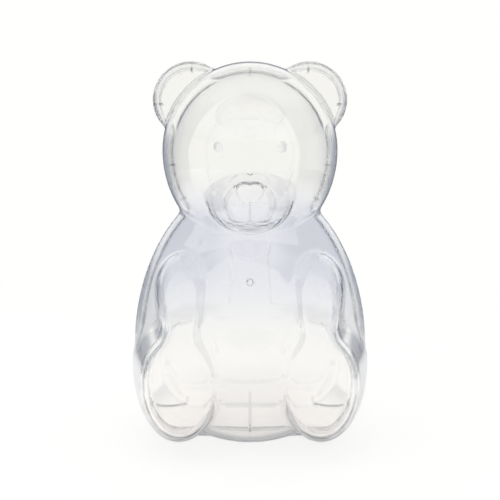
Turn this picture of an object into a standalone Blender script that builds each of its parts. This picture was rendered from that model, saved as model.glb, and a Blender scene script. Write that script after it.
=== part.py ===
"""A bear-shaped sweet container in clear moulded plastic: two thin half shells
that meet at an upright parting plane and push together on a lip.
Metres, +Z up, front towards -Y, standing on Z = 0."""

import math
from dataclasses import dataclass, replace

import bmesh
import bpy
from mathutils import Matrix, Vector

# Walls, lip and clearances
wall = 0.0015
clearance = 0.0003
lip_wall = 0.0010
lip_reach = 0.0021
collar_depth = 0.0024
collar_bite = 0.0005
overrun = 0.0020
cap_step = 0.0003
room_size = 0.3000

# Locating ribs that cross the lip
rib_width = 0.0010
rib_run = 0.0048
rib_bite = 0.0006
rib_set_back = 0.0003

# Straight side wall in front of and behind the parting plane
side_run = 0.0085

# Torso
torso_z = 0.0330
torso_half_width = 0.0394
torso_rise = 0.0570
torso_drop = 0.0327
torso_front = 0.0260
torso_back = 0.0315

# Head, which sinks into the top of the torso
head_sink = 0.0241
head_half_width = 0.0298
head_rise = 0.0300
head_drop = 0.0337
head_front = 0.0310
head_back = 0.0300
head_fullness = 2.2
head_z = torso_z + torso_rise - head_sink + head_drop

# Ears
ear_x = 0.0203
ear_above_head = 0.0174
ear_z = head_z + ear_above_head
ear_radius = 0.0130
ear_front = 0.0112
ear_back = 0.0105
ear_edge = 0.0030

# Muzzle, nose and eyes
muzzle_below_head = 0.0167
muzzle_z = head_z - muzzle_below_head
muzzle_half_width = 0.0138
muzzle_half_height = 0.0110
muzzle_run = 0.0285
muzzle_front = 0.0372
muzzle_fullness = 2.8
nose_above_muzzle = 0.0037
nose_z = muzzle_z + nose_above_muzzle
nose_width = 0.0088
nose_height = 0.0078
nose_relief = 0.0005
eye_x = 0.0100
eye_z = head_z
eye_half_width = 0.0017
eye_half_height = 0.0021
eye_relief = 0.0004

# Belly, which stands out in front of the torso
belly_z = torso_z
belly_half_width = 0.0360
belly_rise = 0.0440
belly_drop = 0.0325
belly_front = 0.0325

# Arms
arm_x = 0.0218
arm_above_torso = 0.0200
arm_z = torso_z + arm_above_torso
arm_half_width = 0.0094
arm_rise = 0.0126
arm_drop = 0.0175
arm_front = 0.0326
arm_edge = 0.0038

# Legs with the soles of the feet facing forward
leg_x = 0.0245
leg_z = 0.0270
leg_half_width = 0.0157
leg_rise = 0.0210
leg_drop = 0.0274
leg_front = 0.0333
leg_back = 0.0160
leg_edge = 0.0045
leg_edge_back = 0.0070

# Where a leg's walls turn into the sole, drawn in from its outline at the seam
sole_draw = 0.0031
sole_below_leg = 0.0008
sole_x = leg_x - sole_draw
sole_z = leg_z - sole_below_leg
sole_half_width = 0.0152
sole_half_height = 0.0206

# Seat: the flat part that the container stands on
seat_z = 0.0240
seat_half_width = 0.0392
seat_rise = 0.0260
seat_drop = 0.0260
seat_back = 0.0300
seat_edge_front = 0.0022
seat_edge_back = 0.0025
seat_draft = 0.0030
seat_power = 3.0

# Gate mark left by the moulding
gate_above_belly = 0.0240
gate_z = belly_z + gate_above_belly
gate_radius = 0.0011
gate_relief = 0.0003

# Facets of the round forms
around = 36
dome_rings = 12
pad_rings = 8
nose_steps = 16
tiny = 1e-6

half_step_share = 0.5

# Shares of the first four waves in the heart outline of the nose
heart_shares = (13 / 16, -5 / 16, -2 / 16, -1 / 16)

front_reach = muzzle_front + nose_relief
back_reach = torso_back
seam_y = (front_reach - back_reach) / 2
seat_front = lip_reach + clearance + seat_edge_front

clear_plastic_colour = (0.86, 0.89, 0.93, 1.0)
clear_plastic_roughness = 0.05
clear_plastic_ior = 1.57


@dataclass
class Outline:
    """A round outline in the XZ plane: an ellipse, or squarer where its power is over 2."""

    x: float
    z: float
    half_width: float
    rise: float
    drop: float
    power: float = 2.0

    def mirrored(self):
        return replace(self, x=-self.x)

    def point(self, across, upward, inset=0, spread=1):
        """The point in the direction (across, upward).

        An inset draws the outline in, and a spread under 1 moves the point to the middle."""
        share = 2 / self.power
        height = self.rise if upward > 0 else self.drop
        x = math.copysign(abs(across) ** share, across) * (self.half_width - inset)
        z = math.copysign(abs(upward) ** share, upward) * (height - inset)
        return self.x + x * spread, self.z + z * spread


@dataclass
class Form:
    """An outline carried from the seam to a depth on one side of it.

    The wall is straight as far as wall_end, and reaches the end outline at run. Past run
    the form closes in a flat face with a rounded edge, or in a dome where it has no edge."""

    name: str
    seam: Outline
    end: Outline
    wall_end: float
    run: float
    depth: float
    edge: float = 0.0
    fullness: float = 2.0

    def rings(self):
        return pad_rings if self.edge else dome_rings


def dome(name, outline, depth, run=side_run, fullness=2.0):
    return Form(name, outline, outline, run / 2, run, depth, fullness=fullness)


def pad(name, outline, depth, edge, end=None):
    run = depth - edge
    return Form(name, outline, end or outline, min(side_run, run / 2), run, depth, edge)


def both_sides(form):
    """The same form left and right of the middle."""
    left = replace(form, name=f"{form.name}_left", seam=form.seam.mirrored(),
                   end=form.end.mirrored())
    return [left, replace(form, name=f"{form.name}_right")]


head_outline = Outline(0, head_z, head_half_width, head_rise, head_drop)
torso_outline = Outline(0, torso_z, torso_half_width, torso_rise, torso_drop)
belly_outline = Outline(0, belly_z, belly_half_width, belly_rise, belly_drop)
muzzle_outline = Outline(0, muzzle_z, muzzle_half_width, muzzle_half_height, muzzle_half_height)
ear_outline = Outline(ear_x, ear_z, ear_radius, ear_radius, ear_radius)
arm_outline = Outline(arm_x, arm_z, arm_half_width, arm_rise, arm_drop)
leg_outline = Outline(leg_x, leg_z, leg_half_width, leg_rise, leg_drop)
sole_outline = Outline(sole_x, sole_z, sole_half_width, sole_half_height, sole_half_height)
seat_outline = Outline(0, seat_z, seat_half_width, seat_rise, seat_drop, seat_power)
seat_rear_outline = replace(seat_outline, half_width=seat_half_width - seat_draft,
                            rise=seat_rise - seat_draft)
eye_outline = Outline(eye_x, eye_z, eye_half_width, eye_half_height, eye_half_height)
gate_outline = Outline(0, gate_z, gate_radius, gate_radius, gate_radius)

muzzle = dome("muzzle", muzzle_outline, muzzle_front, muzzle_run, muzzle_fullness)
belly = dome("belly", belly_outline, belly_front)
face = dome("head", head_outline, head_front, fullness=head_fullness)

front_forms = [
    dome("torso", torso_outline, torso_front),
    face,
    muzzle,
    belly,
    pad("seat", seat_outline, seat_front, seat_edge_front),
    *both_sides(pad("ear", ear_outline, ear_front, ear_edge)),
    *both_sides(pad("arm", arm_outline, arm_front, arm_edge)),
    *both_sides(pad("leg", leg_outline, leg_front, leg_edge, sole_outline)),
]

back_forms = [
    dome("torso", torso_outline, torso_back),
    dome("head", head_outline, head_back, fullness=head_fullness),
    pad("seat", seat_outline, seat_back, seat_edge_back, seat_rear_outline),
    *both_sides(pad("ear", ear_outline, ear_back, ear_edge)),
    *both_sides(pad("leg", leg_outline, leg_back, leg_edge_back)),
]

# Locating ribs: the form whose outline carries them and the angle round it,
# in degrees from +X towards +Z
rib_places = [
    ("head", 90),
    ("head", -9),
    ("head", 189),
    ("head", -32),
    ("head", 212),
    ("ear_left", 90),
    ("ear_right", 90),
    ("ear_left", 186),
    ("ear_right", -6),
    ("leg_left", 218),
    ("leg_right", -38),
    ("seat", -90),
]


def collection(name):
    made = bpy.data.collections.new(name)
    bpy.context.scene.collection.children.link(made)
    return made


def plastic(name):
    """Clear moulded plastic."""
    material = bpy.data.materials.new(name)
    material.use_nodes = True
    shader = material.node_tree.nodes["Principled BSDF"]
    shader.inputs["Base Color"].default_value = clear_plastic_colour
    shader.inputs["Roughness"].default_value = clear_plastic_roughness
    shader.inputs["Metallic"].default_value = 0
    shader.inputs["IOR"].default_value = clear_plastic_ior
    shader.inputs["Transmission Weight"].default_value = 1
    return material


def add_object(name, bm):
    """A cutter object from a closed bmesh whose faces point outwards."""
    mesh = bpy.data.meshes.new(name)
    bm.to_mesh(mesh)
    bm.free()
    made = bpy.data.objects.new(name, mesh)
    cutters.objects.link(made)
    made.parent = assembly
    made.hide_render = True
    made.display_type = "WIRE"
    return made


def turn_inside_out(bm, verts):
    """Turns the faces of a mirrored shape outwards again."""
    faces = {face for vertex in verts for face in vertex.link_faces}
    bmesh.ops.reverse_faces(bm, faces=list(faces))


def add_form(bm, form, inset, side, cap):
    """Adds one form as a closed solid, round on its own side of the seam.

    A sphere gives the facets. Its front rings follow the depth, the ring behind its
    middle stands where the straight wall ends, and the rest lie flat on a cap beyond
    the seam."""
    rings = form.rings()
    made = bmesh.ops.create_uvsphere(bm, u_segments=around, v_segments=rings, radius=1)
    ring_turn = math.pi / rings
    depth = form.depth - inset
    turn = max(form.edge - inset, inset)
    for vertex in made["verts"]:
        across, upward, forward = vertex.co
        reach = math.hypot(across, upward)
        ring = round(math.atan2(forward, reach) / ring_turn)
        at_pole = abs(ring) == rings // 2
        across, upward, reach = (0, 0, 0) if at_pole else (across / reach, upward / reach, reach)
        share = 2 / form.fullness
        if ring < -1:
            spread = reach / math.cos(2 * ring_turn)
            x, z = form.seam.point(across, upward, inset, spread)
            y = -cap
        elif ring == -1:
            x, z = form.seam.point(across, upward, inset)
            y = form.wall_end
        elif form.edge:
            rounding = 0 if at_pole else turn * (1 - reach)
            x, z = form.end.point(across, upward, inset + rounding)
            y = depth - turn * (1 - forward)
        else:
            x, z = form.end.point(across, upward, inset, reach ** share)
            y = form.run + (depth - form.run) * max(forward, 0) ** share
        vertex.co = (x, side * y, z)
    if side > 0:
        turn_inside_out(bm, made["verts"])


def add_prism(bm, outline, inset, start, end, segments=around, turned=0):
    """Adds an outline as a straight block from start to end along Y."""
    made = bmesh.ops.create_cone(bm, cap_ends=True, segments=segments, radius1=1, radius2=1,
                                 depth=1, matrix=Matrix.Rotation(turned, 4, "Z"))
    for vertex in made["verts"]:
        across, upward, end_side = vertex.co
        x, z = outline.point(across, upward, inset)
        vertex.co = (x, start if end_side < 0 else end, z)
    turn_inside_out(bm, made["verts"])


def add_block(bm, low, high, frame=Matrix.Identity(4)):
    """Adds a box between two corners, in a frame of its own where one is given."""
    low, high = Vector(low), Vector(high)
    place = Matrix.Translation((low + high) / 2) @ Matrix.Diagonal((*(high - low), 1))
    bmesh.ops.create_cube(bm, size=1, matrix=frame @ place)


def block(name, low, high):
    bm = bmesh.new()
    add_block(bm, low, high)
    return add_object(name, bm)


def boolean(target, operation, cutter, merge_own=False):
    modifier = target.modifiers.new(f"{operation.lower()} {cutter.name}", "BOOLEAN")
    modifier.operation = operation
    modifier.solver = "EXACT"
    modifier.use_self = merge_own
    modifier.object = cutter


def body_of(name, forms, inset, side, seam_face):
    """The union of all forms on one side of the seam, flat at the floor and the seam."""
    bm = bmesh.new()
    for rank, form in enumerate(forms):
        add_form(bm, form, inset, side, 2 * overrun + rank * cap_step)
    made = add_object(name, bm)
    ends = sorted((seam_face, side * room_size))
    room = block(f"{name}_room", (-room_size, ends[0], inset), (room_size, ends[1], room_size))
    boolean(made, "INTERSECT", room, merge_own=True)
    return made


def outline_of(name, inset, start, end):
    """The outline at the seam, drawn in by an inset, as a block from start to end."""
    bm = bmesh.new()
    for rank, form in enumerate(back_forms):
        spare = overrun + rank * cap_step
        add_prism(bm, form.seam, inset, start - spare, end + spare)
    made = add_object(name, bm)
    room = block(f"{name}_room", (-room_size, start, inset), (room_size, end, room_size))
    boolean(made, "INTERSECT", room, merge_own=True)
    return made


def add_across_lip(bm, outline, degrees, near, far, half_width, start, end):
    """Adds a block across the lip, square to an outline at one angle.

    near and far are its depths inside the outline."""
    turn = math.radians(degrees)
    across, upward = math.cos(turn), math.sin(turn)
    x, z = outline.point(across, upward)
    height = outline.rise if upward > 0 else outline.drop
    outward = Vector((across / outline.half_width, 0, upward / height)).normalized()
    tangent = Vector((outward.z, 0, -outward.x))
    frame = Matrix((tangent, Vector((0, 1, 0)), outward)).transposed().to_4x4()
    frame.translation = (x, 0, max(z, 0))
    add_block(bm, (-half_width, start, -far), (half_width, end, -near), frame)


def across_lip(name, near, far, half_width, start, end):
    """Blocks across the lip at all the places of the locating ribs."""
    named = {form.name: form.seam for form in back_forms}
    bm = bmesh.new()
    for form_name, degrees in rib_places:
        add_across_lip(bm, named[form_name], degrees, near, far, half_width, start, end)
    return add_object(name, bm)


def heart_block():
    """The heart-shaped outline of the nose as a block through the muzzle."""
    outline = bpy.data.curves.new("nose_outline", "CURVE")
    outline.dimensions = "2D"
    outline.fill_mode = "BOTH"
    outline.extrude = muzzle_front / 2
    spline = outline.splines.new("POLY")
    spline.points.add(nose_steps - 1)
    for step, point in enumerate(spline.points):
        turn = math.tau * (step + half_step_share) / nose_steps
        across = math.copysign(math.sin(turn) ** 2, math.sin(turn))
        upward = sum(share * math.cos(order * turn)
                     for order, share in enumerate(heart_shares, start=1))
        point.co = (across * nose_width / 2, upward * nose_height / 2, 0, 1)
    spline.use_cyclic_u = True
    drawn = bpy.data.objects.new("nose_outline", outline)
    cutters.objects.link(drawn)
    evaluated = drawn.evaluated_get(bpy.context.evaluated_depsgraph_get())
    mesh = bpy.data.meshes.new_from_object(evaluated)
    bpy.data.objects.remove(drawn)
    bm = bmesh.new()
    bm.from_mesh(mesh)
    bpy.data.meshes.remove(mesh)
    bmesh.ops.remove_doubles(bm, verts=bm.verts, dist=nose_relief / 10)
    stand = Matrix.Translation((0, -muzzle_front, nose_z)) @ Matrix.Rotation(math.pi / 2, 4, "X")
    bm.transform(stand)
    return add_object("nose_block", bm)


def relief(name, host, height, blocks):
    """A low pad that follows the face of its host form within an outline."""
    bm = bmesh.new()
    add_form(bm, host, -height, -1, overrun)
    made = add_object(name, bm)
    boolean(made, "INTERSECT", blocks)
    return made


def relief_blocks(name, outlines, start, end):
    bm = bmesh.new()
    for outline in outlines:
        add_prism(bm, outline, 0, start, end, nose_steps,
                  math.tau * half_step_share / nose_steps)
    return add_object(name, bm)


def make_front_shell():
    """The front half: face, ears, arms, legs and belly, with ribs inside its rim."""
    nose = relief("nose", muzzle, nose_relief, heart_block())
    eye_outlines = [eye_outline.mirrored(), eye_outline]
    eye_blocks = relief_blocks("eye_blocks", eye_outlines, -head_front - overrun, -side_run)
    eye_pads = relief("eyes", face, eye_relief, eye_blocks)
    gate_block = relief_blocks("gate_block", [gate_outline], -belly_front - overrun, -side_run)
    gate_mark = relief("gate_mark", belly, gate_relief, gate_block)
    shell = body_of("front_shell", front_forms, 0, -1, 0)
    cavity = body_of("front_cavity", front_forms, wall, -1, overrun)
    ribs = across_lip("ribs", rib_bite, wall + clearance + lip_wall,
                      rib_width / 2, -rib_run, -rib_set_back)
    for raised in (nose, eye_pads, gate_mark):
        boolean(shell, "UNION", raised)
    boolean(shell, "DIFFERENCE", cavity)
    boolean(shell, "UNION", ribs)
    return shell


def make_back_shell():
    """The back half: a plain back and seat, with the lip that goes into the front."""
    seam_face = clearance
    lip_inset = wall + clearance
    root = seam_face + collar_depth
    shell = body_of("back_shell", back_forms, 0, 1, seam_face)
    cavity = body_of("back_cavity", back_forms, wall, 1, -overrun)
    lip = outline_of("lip", lip_inset, -lip_reach, root)
    collar = outline_of("collar", wall - collar_bite, seam_face + rib_set_back, root)
    bore = outline_of("lip_bore", lip_inset + lip_wall, -lip_reach - overrun, root + overrun)
    slots = across_lip("slots", wall + clearance / 2, lip_inset + lip_wall + overrun,
                       rib_width / 2 + clearance, -lip_reach - overrun, 0)
    boolean(lip, "UNION", collar)
    boolean(lip, "DIFFERENCE", bore)
    boolean(lip, "DIFFERENCE", slots)
    boolean(shell, "DIFFERENCE", cavity)
    boolean(shell, "UNION", lip)
    return shell


def show(shell, material):
    """Moves a finished shell out of the cutters and gives it its material."""
    cutters.objects.unlink(shell)
    container.objects.link(shell)
    shell.hide_render = False
    shell.display_type = "TEXTURED"
    shell.data.materials.append(material)


for old in list(bpy.data.objects):
    bpy.data.objects.remove(old)

container = collection("bear container")
cutters = collection("cutters")
assembly = bpy.data.objects.new("assembly", None)
container.objects.link(assembly)
assembly.location = (0, seam_y, 0)

front_shell = make_front_shell()
back_shell = make_back_shell()
show(front_shell, plastic("front shell plastic"))
show(back_shell, plastic("back shell plastic"))
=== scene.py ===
"""The looks of a bear-shaped sweet container in clear moulded plastic.

Two thin shells meet at an upright parting plane. Both come from one smooth skin round the
bear's forms: head, muzzle, ears, torso, belly, arms, legs and seat. The skin is cut at the
parting plane, given its wall, and finished with a rim, a lip and locating ribs."""

import math
from dataclasses import dataclass, replace

import bmesh
import bpy
import numpy as np
from bpy.props import FloatProperty, FloatVectorProperty, PointerProperty
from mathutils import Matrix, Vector


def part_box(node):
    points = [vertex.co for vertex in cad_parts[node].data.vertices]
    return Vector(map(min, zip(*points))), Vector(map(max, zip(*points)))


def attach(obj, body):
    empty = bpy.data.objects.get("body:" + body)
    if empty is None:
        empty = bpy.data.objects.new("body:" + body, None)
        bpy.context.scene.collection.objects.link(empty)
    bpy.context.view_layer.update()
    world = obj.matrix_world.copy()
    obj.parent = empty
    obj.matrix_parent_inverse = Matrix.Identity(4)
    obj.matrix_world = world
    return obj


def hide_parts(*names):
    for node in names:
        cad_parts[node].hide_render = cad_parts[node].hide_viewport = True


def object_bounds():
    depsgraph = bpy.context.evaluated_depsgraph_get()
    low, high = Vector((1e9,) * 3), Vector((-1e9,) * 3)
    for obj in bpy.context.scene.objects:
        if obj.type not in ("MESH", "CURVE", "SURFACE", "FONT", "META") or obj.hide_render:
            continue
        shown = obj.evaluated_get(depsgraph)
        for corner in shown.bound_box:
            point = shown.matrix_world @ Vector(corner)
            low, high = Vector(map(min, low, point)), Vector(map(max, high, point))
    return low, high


bl_info = {
    "name": "Bear Sweet Container",
    "version": (1, 0, 0),
    "blender": (4, 5, 0),
    "location": "View3D > Sidebar > Bear",
    "description": "Builds the clear shells, ribs and studio of a bear-shaped sweet container",
    "category": "Object",
}

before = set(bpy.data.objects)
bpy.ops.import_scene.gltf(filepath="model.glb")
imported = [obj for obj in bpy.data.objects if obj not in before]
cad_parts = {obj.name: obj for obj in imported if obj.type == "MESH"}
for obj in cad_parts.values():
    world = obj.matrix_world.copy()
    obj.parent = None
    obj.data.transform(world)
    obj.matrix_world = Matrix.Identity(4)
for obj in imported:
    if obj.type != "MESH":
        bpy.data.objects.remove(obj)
cad_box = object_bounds()
parting_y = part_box("front_shell")[1].y
tiny = 1e-9
sharp_angle = math.radians(50)


def length(name, description, default):
    return FloatProperty(name=name, description=description, default=default,
                         precision=5, unit="LENGTH")


def share(name, description, default):
    return FloatProperty(name=name, description=description, default=default,
                         min=0, max=1, subtype="FACTOR")


def number(name, description, default):
    return FloatProperty(name=name, description=description, default=default, precision=3)


def colour(name, description, default):
    return FloatVectorProperty(name=name, description=description, default=default,
                               size=3, min=0, max=1, subtype="COLOR")


class BearWall(bpy.types.PropertyGroup):
    """Walls, rim and lip."""

    wall: length("Wall", "Thickness of both shells", 0.0015)
    clearance: length("Clearance", "Gap between the two shells", 0.0003)
    rim_wall: length("Rim wall", "Thickness of both rims at the parting plane", 0.0009)
    rim_taper: length("Rim taper", "Over what depth the rims thicken to the wall", 0.0040)
    lip_wall: length("Lip wall", "Thickness of the lip of the back shell", 0.0006)
    lip_reach: length("Lip reach", "How far the lip goes into the front shell", 0.0021)
    collar_depth: length("Collar depth", "How far the lip's root goes back", 0.0012)
    rim_edge: length("Rim edge", "Rounding of the rim's edges", 0.00015)
    mesh_step: length("Mesh step", "Size of a face of the skin", 0.00085)
    side_run: length("Side run", "Straight side wall in front of the parting plane", 0.0085)
    back_run: length("Back run", "Straight side wall behind the parting plane", 0.0010)


class BearRibs(bpy.types.PropertyGroup):
    """Locating ribs inside the front rim and ribs on the seat."""

    width: length("Width", "Width of a locating rib", 0.0006)
    run: length("Run", "How far a locating rib goes to the front", 0.0048)
    set_back: length("Set back", "From the parting plane to a locating rib", 0.0003)
    bite: length("Bite", "Inset at which a locating rib starts", 0.0006)
    tip: length("Tip", "Inset at which a locating rib ends", 0.0028)
    seat_radius: length("Seat rib radius", "Rounding of a seat rib", 0.00060)
    seat_start: length("Seat rib start", "From the parting plane to a seat rib", 0.0012)
    seat_end: length("Seat rib end", "How far back a seat rib goes", 0.0290)
    middle_top: length("Middle top", "Height of the middle rib's rear end", 0.0063)
    side_start_x: length("Side start", "Place of a side rib's front end", 0.0358)
    side_start_z: length("Side start height", "Height of a side rib's front end", 0.0069)
    side_end_x: length("Side end", "Place of a side rib's rear end", 0.0242)
    side_top: length("Side top", "Height of a side rib's rear end", 0.0049)
    pivot_z: length("Pivot height", "Height from which the seat ribs are laid out", 0.0110)
    bead_half_width: length("Bead half width", "Half the length of the rear bead", 0.0178)
    bead_radius: length("Bead radius", "Radius of the rear bead", 0.0009)


class BearHead(bpy.types.PropertyGroup):
    """Head, ears and muzzle."""

    z: length("Height", "Middle of the head", 0.0996)
    half_width: length("Half width", "Half the width of the head", 0.0298)
    rise: length("Rise", "From the middle to the crown", 0.0300)
    drop: length("Drop", "From the middle to the chin", 0.0337)
    front: length("Front", "Reach of the face", 0.0310)
    back: length("Back", "Reach of the back of the head", 0.0300)
    ear_x: length("Ear place", "Distance of an ear from the middle", 0.0203)
    ear_z: length("Ear height", "Middle of an ear", 0.1170)
    ear_radius: length("Ear radius", "Radius of an ear", 0.0130)
    ear_front: length("Ear front", "Reach of an ear to the front", 0.0112)
    ear_back: length("Ear back", "Reach of an ear to the back", 0.0032)
    ear_edge: length("Ear edge", "Rounding of an ear's edge", 0.0030)
    muzzle_z: length("Muzzle height", "Middle of the muzzle", 0.0829)
    muzzle_half_width: length("Muzzle half width", "Half the muzzle's width", 0.0138)
    muzzle_half_height: length("Muzzle half height", "Half the muzzle's height", 0.0110)
    muzzle_front: length("Muzzle front", "Reach of the muzzle", 0.0372)
    muzzle_root: length("Muzzle root", "Depth from which the muzzle draws in", 0.0266)
    muzzle_edge: length("Muzzle edge", "Rounding of the muzzle's edge", 0.0040)
    muzzle_crown: length("Muzzle crown", "How much the muzzle's face falls away", 0.0034)
    muzzle_shoulder: length("Muzzle shoulder", "Over what width it falls away", 0.0100)
    snout_z: length("Snout height", "Middle of the muzzle's face", 0.0824)
    snout_half_width: length("Snout half width", "Half the width of its face", 0.0100)
    snout_rise: length("Snout rise", "From the middle to the top of its face", 0.0083)
    snout_drop: length("Snout drop", "From the middle to the bottom of its face", 0.0104)


class BearBody(bpy.types.PropertyGroup):
    """Torso, belly and seat."""

    z: length("Height", "Middle of the torso", 0.0330)
    half_width: length("Half width", "Half the width of the torso", 0.0394)
    rise: length("Rise", "From the middle to the shoulders' top", 0.0570)
    drop: length("Drop", "From the middle down", 0.0327)
    front: length("Front", "Reach of the torso to the front", 0.0260)
    back: length("Back", "Reach of the torso to the back", 0.0315)
    belly_half_width: length("Belly half width", "Half the belly's width", 0.0360)
    belly_rise: length("Belly rise", "From the middle to the belly's top", 0.0440)
    belly_drop: length("Belly drop", "From the middle to the belly's bottom", 0.0325)
    belly_front: length("Belly front", "Reach of the belly", 0.0325)
    seat_z: length("Seat height", "Middle of the seat's outline", 0.0240)
    seat_half_width: length("Seat half width", "Half the seat's width", 0.0392)
    seat_half_height: length("Seat half height", "Half the height of its outline", 0.0260)
    seat_front: length("Seat front", "Reach of the seat to the front", 0.0046)
    seat_back: length("Seat back", "Reach of the seat to the back", 0.0300)
    seat_edge_front: length("Seat front edge", "Rounding of its front edge", 0.0022)
    seat_edge_back: length("Seat back edge", "Rounding of its back edge", 0.0024)
    seat_draft: length("Seat draft", "How much the seat draws in to the back", 0.0030)
    seat_rear_rise: length("Seat rear rise", "From the middle to the top of its back", 0.0130)
    base_edge: length("Base edge", "Rounding between the walls and the base", 0.0014)


class BearLimbs(bpy.types.PropertyGroup):
    """Arms and legs."""

    arm_x: length("Arm place", "Distance of an arm from the middle", 0.0218)
    arm_z: length("Arm height", "Middle of an arm", 0.0530)
    arm_half_width: length("Arm half width", "Half an arm's width", 0.0094)
    arm_rise: length("Arm rise", "From the middle to the arm's top", 0.0126)
    arm_drop: length("Arm drop", "From the middle to the arm's end", 0.0175)
    arm_front: length("Arm front", "Reach of an arm", 0.0326)
    arm_edge: length("Arm edge", "Rounding of an arm's edge", 0.0022)
    arm_root: length("Arm root", "Depth from which an arm draws in", 0.0200)
    palm_x: length("Palm place", "Distance of an arm's face from the middle", 0.0216)
    palm_z: length("Palm height", "Middle of an arm's face", 0.0525)
    palm_half_width: length("Palm half width", "Half the width of an arm's face", 0.0072)
    palm_rise: length("Palm rise", "From the middle to the top of the face", 0.0104)
    palm_drop: length("Palm drop", "From the middle to the end of the face", 0.0200)
    leg_x: length("Leg place", "Distance of a leg from the middle", 0.0245)
    leg_z: length("Leg height", "Middle of a leg", 0.0270)
    leg_half_width: length("Leg half width", "Half a leg's width", 0.0157)
    leg_rise: length("Leg rise", "From the middle to the leg's top", 0.0210)
    leg_drop: length("Leg drop", "From the middle to the leg's bottom", 0.0274)
    leg_front: length("Leg front", "Reach of a leg to the front", 0.0333)
    leg_back: length("Leg back", "Reach of a leg to the back", 0.0160)
    leg_edge: length("Leg edge", "Rounding of the sole's edge", 0.0030)
    leg_run_back: length("Leg back run", "Where a leg starts to round over at the back", 0.0010)
    sole_x: length("Sole place", "Distance of a sole from the middle", 0.0221)
    sole_z: length("Sole height", "Middle of a sole", 0.0250)
    sole_half_width: length("Sole half width", "Half a sole's width", 0.0126)
    sole_rise: length("Sole rise", "From the middle to the sole's top", 0.0160)
    sole_drop: length("Sole drop", "From the middle to the sole's bottom", 0.0180)
    waist_fillet: length("Waist fillet", "Rounding between an arm and a leg", 0.0070)
    crown: length("Crown", "How much the faces of the limbs fall away", 0.0014)
    shoulder: length("Shoulder", "Over what width these faces fall away", 0.0060)
    recline_z: length("Recline height", "Height from which the faces curve back", 0.0360)
    recline: length("Recline", "Radius in which the faces curve back", 0.0540)


class BearFace(bpy.types.PropertyGroup):
    """Reliefs on the face and the belly."""

    nose_z: length("Nose place", "Height of the middle of the heart-shaped nose", 0.0851)
    nose_width: length("Nose width", "Width of the nose", 0.0088)
    nose_height: length("Nose height", "Height of the nose", 0.0077)
    nose_relief: length("Nose relief", "How far the nose stands out", 0.0004)
    nose_groove: length("Nose groove", "Depth of the groove along its outline", 0.0002)
    line_relief: length("Line relief", "Depth of the mouth's lines", 0.0004)
    line_half_width: length("Line half width", "Half the width of the mouth's lines", 0.0005)
    line_top: length("Line top", "Upper end of the mouth's upright line", 0.0808)
    smile_radius: length("Smile radius", "Radius of each half of the mouth", 0.0070)
    smile_x: length("Smile place", "Middle of each half of the mouth", 0.0033)
    smile_z: length("Smile height", "Lowest point of the mouth", 0.0751)
    smile_end: length("Smile end", "Distance of the mouth's corners", 0.0080)
    eye_x: length("Eye place", "Distance of an eye from the middle", 0.0100)
    eye_z: length("Eye height", "Middle of an eye", 0.0996)
    eye_half_width: length("Eye half width", "Half an eye's width", 0.0017)
    eye_half_height: length("Eye half height", "Half an eye's height", 0.0021)
    eye_relief: length("Eye relief", "How far an eye stands out", 0.0007)
    gate_z: length("Gate height", "Height of the gate mark", 0.0570)
    gate_radius: length("Gate radius", "Radius of the gate mark's ring", 0.0010)
    gate_relief: length("Gate relief", "Height of the gate mark's ring", 0.0003)
    reach: length("Reach", "Only the front beyond this depth has reliefs", 0.0120)


class BearFinish(bpy.types.PropertyGroup):
    """Colours and surface of the clear plastic, with the painted reflections and shade among its
    tints.
    """

    clear: colour("Clear", "Colour of the plastic", (0.958, 0.955, 0.940))
    # The cool tint is a painted reflection: the upper body is tinted cooler and greyer for the
    # bluish surroundings that it reflects.
    cool_reflection: colour("Cool", "Tint of the upper body", (0.870, 0.880, 0.920))
    warm: colour("Warm", "Tint of the lower body", (0.99, 0.970, 0.955))
    # The chest tint is a painted dark reflection: darker beside the middle of the chest, for the
    # dark surroundings reflected there.
    chest: colour("Chest", "Tint beside the middle of the chest", (0.825, 0.835, 0.885))
    # The flank tint is painted shade: the flanks are darker for the darker surroundings that their
    # grazing walls reflect.
    flank_shade: colour("Flank", "Tint of the flanks, seen through more plastic",
                  (0.840, 0.850, 0.870))
    # The eye tint is painted shade: the eyes' reliefs are tinted grey for the shading that they
    # catch.
    eye: colour("Eye", "Tint of the eyes", (0.900, 0.900, 0.905))
    # The rib colour is a painted dark reflection, for the dark surroundings that a locating rib's
    # cut faces reflect.
    rib: colour("Rib", "Colour that a locating rib gathers", (0.06, 0.07, 0.09))
    # The seat rib colour is painted grey shade along the seat ribs and the rear bead.
    seat_rib: colour("Seat rib", "Colour that a rib of the seat gathers", (0.72, 0.72, 0.74))
    roughness: share("Roughness", "Roughness of the surface", 0.03)
    coat: share("Coat", "Strength of the polished skin's own reflection", 1.0)
    waviness: length("Waviness", "Depth of the moulding's flow waves", 0.00003)
    wave_scale: number("Wave scale", "How closely the flow waves follow each other", 70)
    mist_scale: number("Mist scale", "How fine the changes of the roughness are", 180)
    mist: share("Mist", "How much the roughness changes", 0.03)
    grain_scale: number("Grain scale", "How fine the changes of a rib's grey are", 400)
    grain: share("Grain", "How much a rib's grey changes", 0.2)
    index: number("Index", "The plastic's index of refraction", 1.57)
    coat_index: number("Coat index", "The polished skin's index of refraction", 1.7)
    shadow: colour("Shadow", "Light that a wall lets through to its shadow", (0.93, 0.94, 0.95))


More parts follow.
